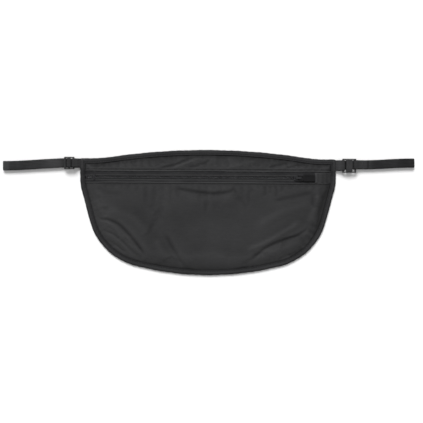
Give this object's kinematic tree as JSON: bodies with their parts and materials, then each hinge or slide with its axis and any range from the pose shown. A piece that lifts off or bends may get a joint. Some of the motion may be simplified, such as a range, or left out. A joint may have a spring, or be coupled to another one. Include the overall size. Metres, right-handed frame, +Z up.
{
  "type": "waist pouch",
  "caption": "Flat half-moon waist pouch with one straight zip, on a narrow elastic belt with a three-bar slide and a small two-part clasp, laid flat.",
  "frame": {"origin": "on the table, under the middle of the whole piece as it lies flat, belt folded at both ends", "axes": "+X along the zip towards the clasp, +Y towards the pouch's upper edge, +Z up off the table"},
  "size_m": [0.452, 0.138, 0.0084],
  "materials": {
    "fabric": "fine plain-woven dark charcoal cloth, matt",
    "lining": "thin plain-woven grey pocket lining, slight metallic sheen",
    "binding": "ribbed grosgrain edge tape, matt black",
    "webbing": "narrow elastic webbing with lengthwise ribs",
    "zip_tape": "twill zip tape, matt black",
    "zip_coil": "nylon coil, black",
    "zip_metal": "die-cast, black lacquer, worn to grey on edges",
    "moulded": "moulded acetal, satin black",
    "thread": "spun polyester sewing thread, dark grey"
  },
  "bodies": {
    "root": {"back_panel": "fabric", "front_panel": "fabric", "yoke_panel": "fabric", "zip_end_tab": "fabric", "back_lining": "lining", "front_lining": "lining", "edge_binding": "binding", "strap_left": "webbing", "strap_tail": "webbing", "slide_tab": "webbing", "clasp_tab": "webbing", "zip_tape_upper": "zip_tape", "zip_tape_lower": "zip_tape", "zip_coil_upper": "zip_coil", "zip_coil_lower": "zip_coil", "zip_top_stops": "zip_metal", "zip_bottom_stop": "zip_metal", "clasp_socket": "moulded", "tab_tacks": "thread"},
    "slider": {"slider_body": "zip_metal", "slider_crown": "zip_metal"},
    "puller": {"zip_puller": "zip_metal"},
    "adjuster": {"strap_slide": "moulded", "strap_threaded": "webbing"},
    "clasp_half": {"clasp_plug": "moulded", "strap_right": "webbing", "strap_tacks": "thread"}
  },
  "joints": [
    {"name": "zip_travel", "type": "slide", "parent": "root", "child": "slider", "axis": [-1, 0, 0], "range_m": [0, 0.217]},
    {"name": "puller_swing", "type": "hinge", "parent": "slider", "child": "puller", "pos_m": [0.0993, 0.0385, 0.00705], "axis": [0, -1, 0], "range_deg": [0, 180]},
    {"name": "adjuster_tilt", "type": "hinge", "parent": "root", "child": "adjuster", "pos_m": [-0.1477, 0.0535, 0.00515], "axis": [0, 1, 0], "range_deg": [0, 35]},
    {"name": "clasp_pull", "type": "slide", "parent": "root", "child": "clasp_half", "axis": [1, 0, 0], "range_m": [0, 0.02]}
  ]
}
